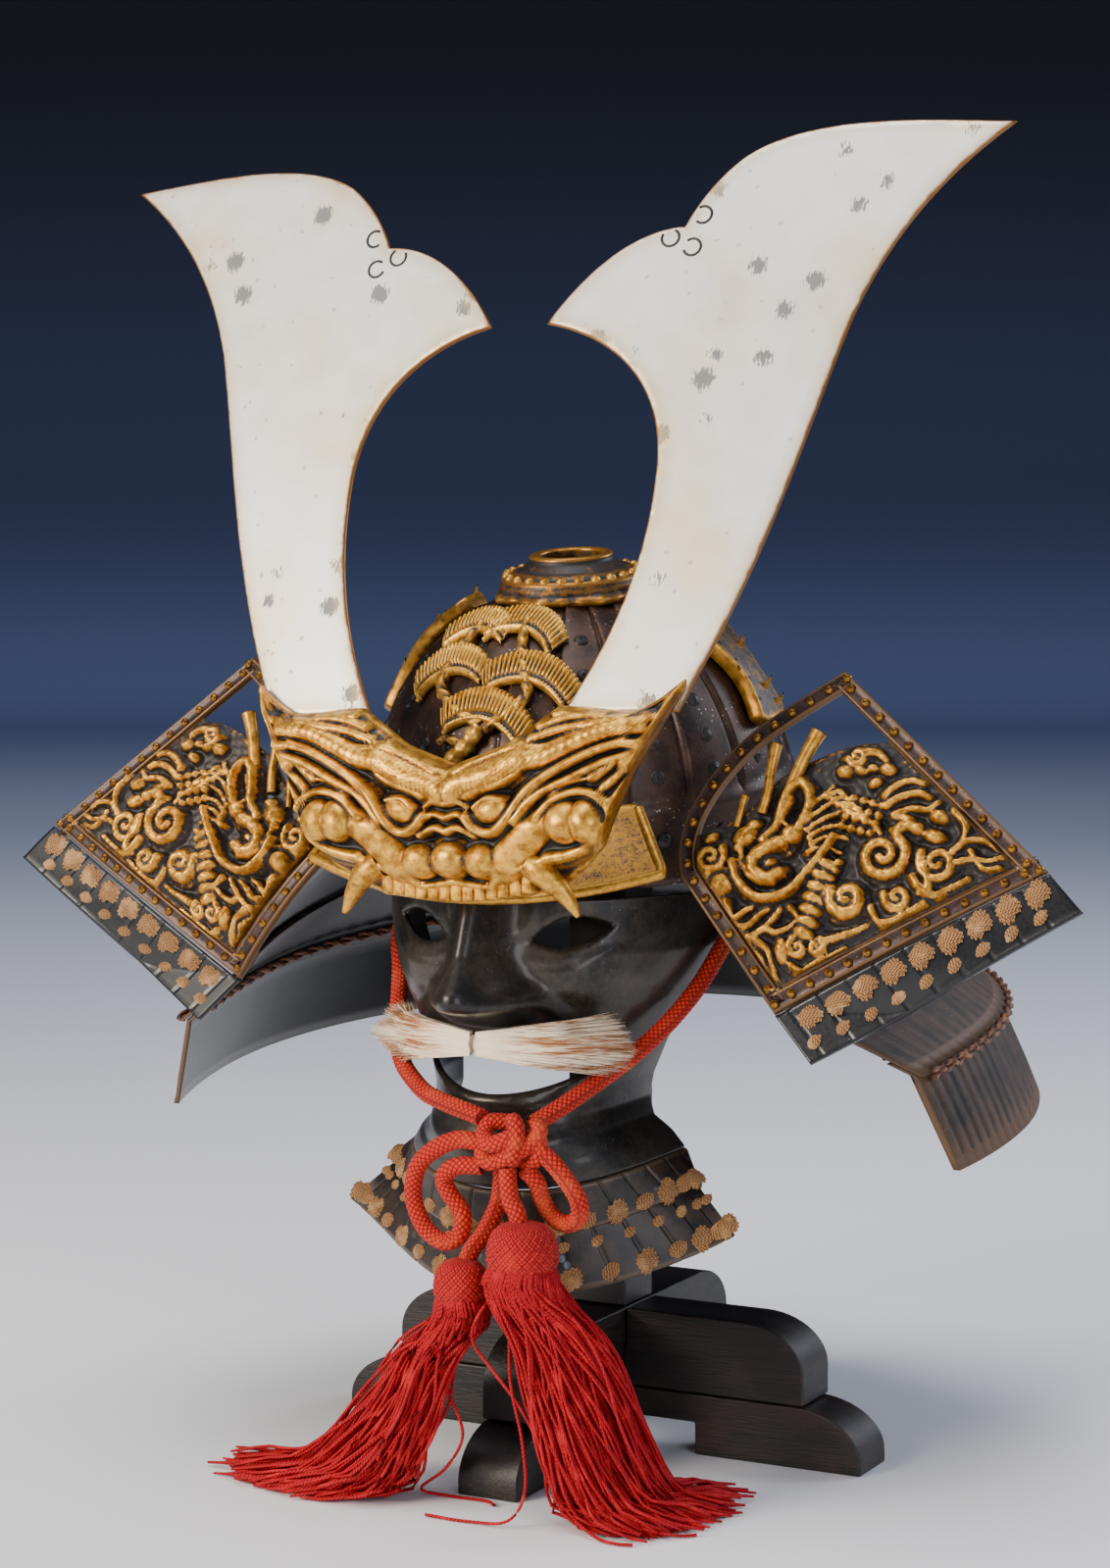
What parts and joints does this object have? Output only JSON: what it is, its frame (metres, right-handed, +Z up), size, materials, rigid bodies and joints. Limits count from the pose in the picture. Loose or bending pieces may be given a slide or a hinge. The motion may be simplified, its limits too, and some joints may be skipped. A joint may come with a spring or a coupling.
{
  "type": "kabuto samurai helmet on a wooden stand",
  "caption": "Display samurai helmet with a beast crest, tall plate horns, side wings, neck guard, face mask with moustache, throat guard and tasselled cord, on a dark wooden stand.",
  "frame": {"origin": "on the floor, under the middle of the object without its cords and tassels", "axes": "+Z up, the face looks along -Y, and +X is the wearer's left"},
  "size_m": [0.4388, 0.2897, 0.5104],
  "materials": {
    "stand_wood": "satin",
    "bowl_bronze": "satin",
    "gilt": "satin",
    "horn_silver": "satin",
    "wing_bronze": "satin",
    "black_lacquer": "satin",
    "mask_bronze": "satin",
    "moustache_hair": "matte",
    "red_cord": "matte",
    "red_thread": "matte"
  },
  "bodies": {
    "root": {"stand_foot_sides": "stand_wood", "stand_foot_front": "stand_wood", "stand_foot_back": "stand_wood", "stand_arm_x": "stand_wood", "stand_arm_y": "stand_wood", "stand_post": "stand_wood", "stand_head_pad": "stand_wood", "bowl": "bowl_bronze", "crown_ring": "bowl_bronze", "pine_branch": "gilt", "side_ridge_left": "gilt", "side_ridge_right": "gilt", "brim": "gilt", "neck_lame_1": "black_lacquer", "neck_lame_2": "black_lacquer", "neck_lame_3": "black_lacquer", "lion_crest": "gilt", "horn_left": "horn_silver", "horn_right": "horn_silver", "wing_left": "wing_bronze", "wing_right": "wing_bronze", "dragon_left": "gilt", "dragon_right": "gilt", "wing_strip_left": "black_lacquer", "wing_strip_right": "black_lacquer", "mask": "mask_bronze", "moustache_left": "moustache_hair", "moustache_right": "moustache_hair", "throat_lame_1": "black_lacquer", "throat_lame_2": "black_lacquer", "chin_cord": "red_cord", "cord_knot": "red_cord", "bow_loop_left": "red_cord", "bow_loop_right": "red_cord", "cord_tail_left": "red_cord", "cord_tail_right": "red_cord", "tassel_head_left": "red_thread", "tassel_head_right": "red_thread", "tassel_skirt_left": "red_thread", "tassel_skirt_right": "red_thread"}
  },
  "joints": []
}
